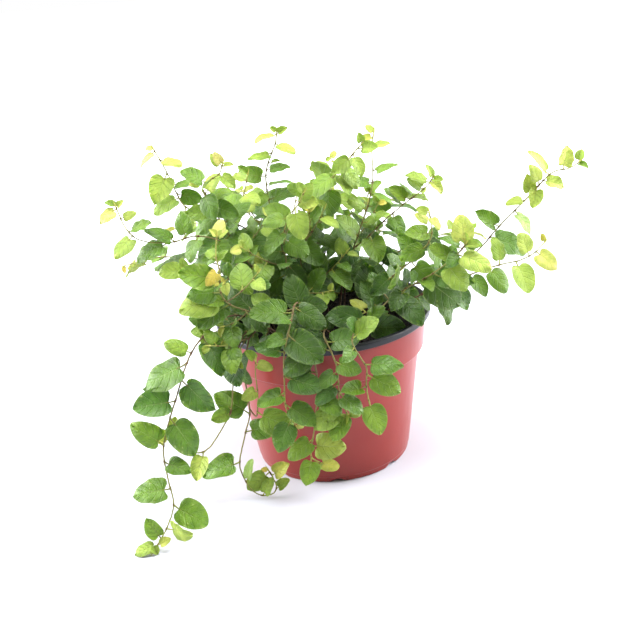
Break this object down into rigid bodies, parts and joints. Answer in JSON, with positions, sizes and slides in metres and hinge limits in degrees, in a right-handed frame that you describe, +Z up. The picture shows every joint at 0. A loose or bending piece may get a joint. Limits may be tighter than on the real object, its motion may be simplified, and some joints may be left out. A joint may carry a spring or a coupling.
{
  "type": "creeping fig in nursery pot",
  "caption": "Trailing climber with small heart-shaped leaves on thin wiry stems, arching from potting soil and hanging over the rim of a tapered round nursery pot.",
  "frame": {"origin": "middle of the underside of the pot's foot, on the surface it stands on", "axes": "+Z up along the pot's axis; -Y is the front, where the longest shoots trail to the left; +X to the right"},
  "size_m": [0.2902, 0.2524, 0.211],
  "materials": {
    "pot": "terracotta-red formed polypropylene sheet with a satin surface; the rolled lip and the inside are the sheet's black side",
    "soil": "dark damp peat with crumbs and short fibres",
    "foliage": "living leaves from dark green to yellow-green, faintly glossy, on brown woody stems"
  },
  "bodies": {
    "root": {"pot": "pot", "potting_soil": "soil", "shoot_back_hanging_left": "foliage", "shoot_back_hanging_right": "foliage", "shoot_back_left": "foliage", "shoot_back_left_low": "foliage", "shoot_back_middle": "foliage", "shoot_back_right": "foliage", "shoot_back_right_low": "foliage", "shoot_back_tall": "foliage", "shoot_centre": "foliage", "shoot_centre_back": "foliage", "shoot_centre_left": "foliage", "shoot_centre_tall": "foliage", "shoot_hanging_centre": "foliage", "shoot_hanging_left": "foliage", "shoot_hanging_middle": "foliage", "shoot_hanging_right": "foliage", "shoot_left_front": "foliage", "shoot_left_high": "foliage", "shoot_left_level": "foliage", "shoot_left_long": "foliage", "shoot_left_tall": "foliage", "shoot_left_upright": "foliage", "shoot_right_front": "foliage", "shoot_right_level": "foliage", "shoot_right_long": "foliage", "shoot_right_slant": "foliage", "shoot_right_tall": "foliage", "shoot_right_upright": "foliage", "shoot_side_left": "foliage", "shoot_top": "foliage", "shoot_trailing_floor": "foliage", "shoot_trailing_hook": "foliage", "shoot_trailing_long": "foliage"}
  },
  "joints": []
}
